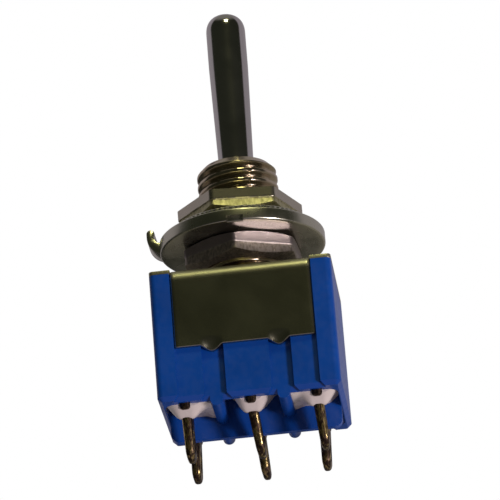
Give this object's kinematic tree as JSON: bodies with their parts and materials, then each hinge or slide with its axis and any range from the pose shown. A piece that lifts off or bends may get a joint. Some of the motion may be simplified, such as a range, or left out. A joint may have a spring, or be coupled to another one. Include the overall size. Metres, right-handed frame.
{
  "type": "miniature toggle switch",
  "caption": "Miniature toggle switch: bat lever in a threaded bushing with nuts, washer and locating ring, folded metal frame on a blue case, solder lugs below.",
  "frame": {"origin": "on the bushing's axis, at the top face of the metal frame, where the switch seats behind a panel", "axes": "+Z along the bushing towards the lever's head, +X along a row of solder lugs with the locating tab on the -X side, -Y to the side seen in front"},
  "size_m": [0.0135, 0.012, 0.0354],
  "materials": {
    "case_blue": "moulded, slightly glossy",
    "frame_plate": "bright-plated sheet steel",
    "bushing_plate": "plated, turned and threaded",
    "hardware_plate": "plated, lightly grained",
    "lever_chrome": "polished plate",
    "carrier_plastic": "moulded",
    "spring_wire": "drawn wire",
    "plunger_brass": "turned",
    "rocker_strip": "silvered strip",
    "lug_metal": "tarnished plate over brass",
    "contact_silver": "silver facing",
    "potting_resin": "cast resin"
  },
  "bodies": {
    "base": {"housing": "case_blue", "frame": "frame_plate", "bushing": "bushing_plate", "lower_nut": "hardware_plate", "upper_nut": "hardware_plate", "locating_ring": "hardware_plate", "lock_washer": "hardware_plate", "terminal_front_left": "lug_metal", "terminal_front_common": "lug_metal", "terminal_front_right": "lug_metal", "terminal_rear_left": "lug_metal", "terminal_rear_common": "lug_metal", "terminal_rear_right": "lug_metal", "contact_front_left": "contact_silver", "contact_front_right": "contact_silver", "contact_rear_left": "contact_silver", "contact_rear_right": "contact_silver", "potting_front_left": "potting_resin", "potting_front_common": "potting_resin", "potting_front_right": "potting_resin", "potting_rear_left": "potting_resin", "potting_rear_common": "potting_resin", "potting_rear_right": "potting_resin"},
    "lever": {"toggle_lever": "lever_chrome", "actuator": "carrier_plastic", "spring_front": "spring_wire", "spring_rear": "spring_wire"},
    "front_plunger": {"plunger_front": "plunger_brass"},
    "rear_plunger": {"plunger_rear": "plunger_brass"},
    "front_rocker": {"rocker_front": "rocker_strip"},
    "rear_rocker": {"rocker_rear": "rocker_strip"}
  },
  "joints": [
    {"name": "lever_swing", "type": "hinge", "parent": "base", "child": "lever", "pos_m": [0, 0, 0.005], "axis": [0, 1, 0], "range_deg": [-12, 12]},
    {"name": "front_plunger_slide", "type": "slide", "parent": "lever", "child": "front_plunger", "axis": [0, 0, 1], "range_m": [0, 0.0005], "stiffness_N_per_m": 50, "springref_m": -0.002, "deforming": ["spring_front"]},
    {"name": "rear_plunger_slide", "type": "slide", "parent": "lever", "child": "rear_plunger", "axis": [0, 0, 1], "range_m": [0, 0.0005], "stiffness_N_per_m": 50, "springref_m": -0.002, "deforming": ["spring_rear"]},
    {"name": "front_rocker_tilt", "type": "hinge", "parent": "base", "child": "front_rocker", "pos_m": [0, -0.00255, -0.00556], "axis": [0, 1, 0], "range_deg": [-7.5, 7.5]},
    {"name": "rear_rocker_tilt", "type": "hinge", "parent": "base", "child": "rear_rocker", "pos_m": [0, 0.00255, -0.00556], "axis": [0, 1, 0], "range_deg": [-7.5, 7.5]}
  ],
  "couplings": [
    {"joint": "front_rocker_tilt", "follows": "lever_swing", "ratio": -0.6},
    {"joint": "rear_rocker_tilt", "follows": "lever_swing", "ratio": -0.6}
  ]
}
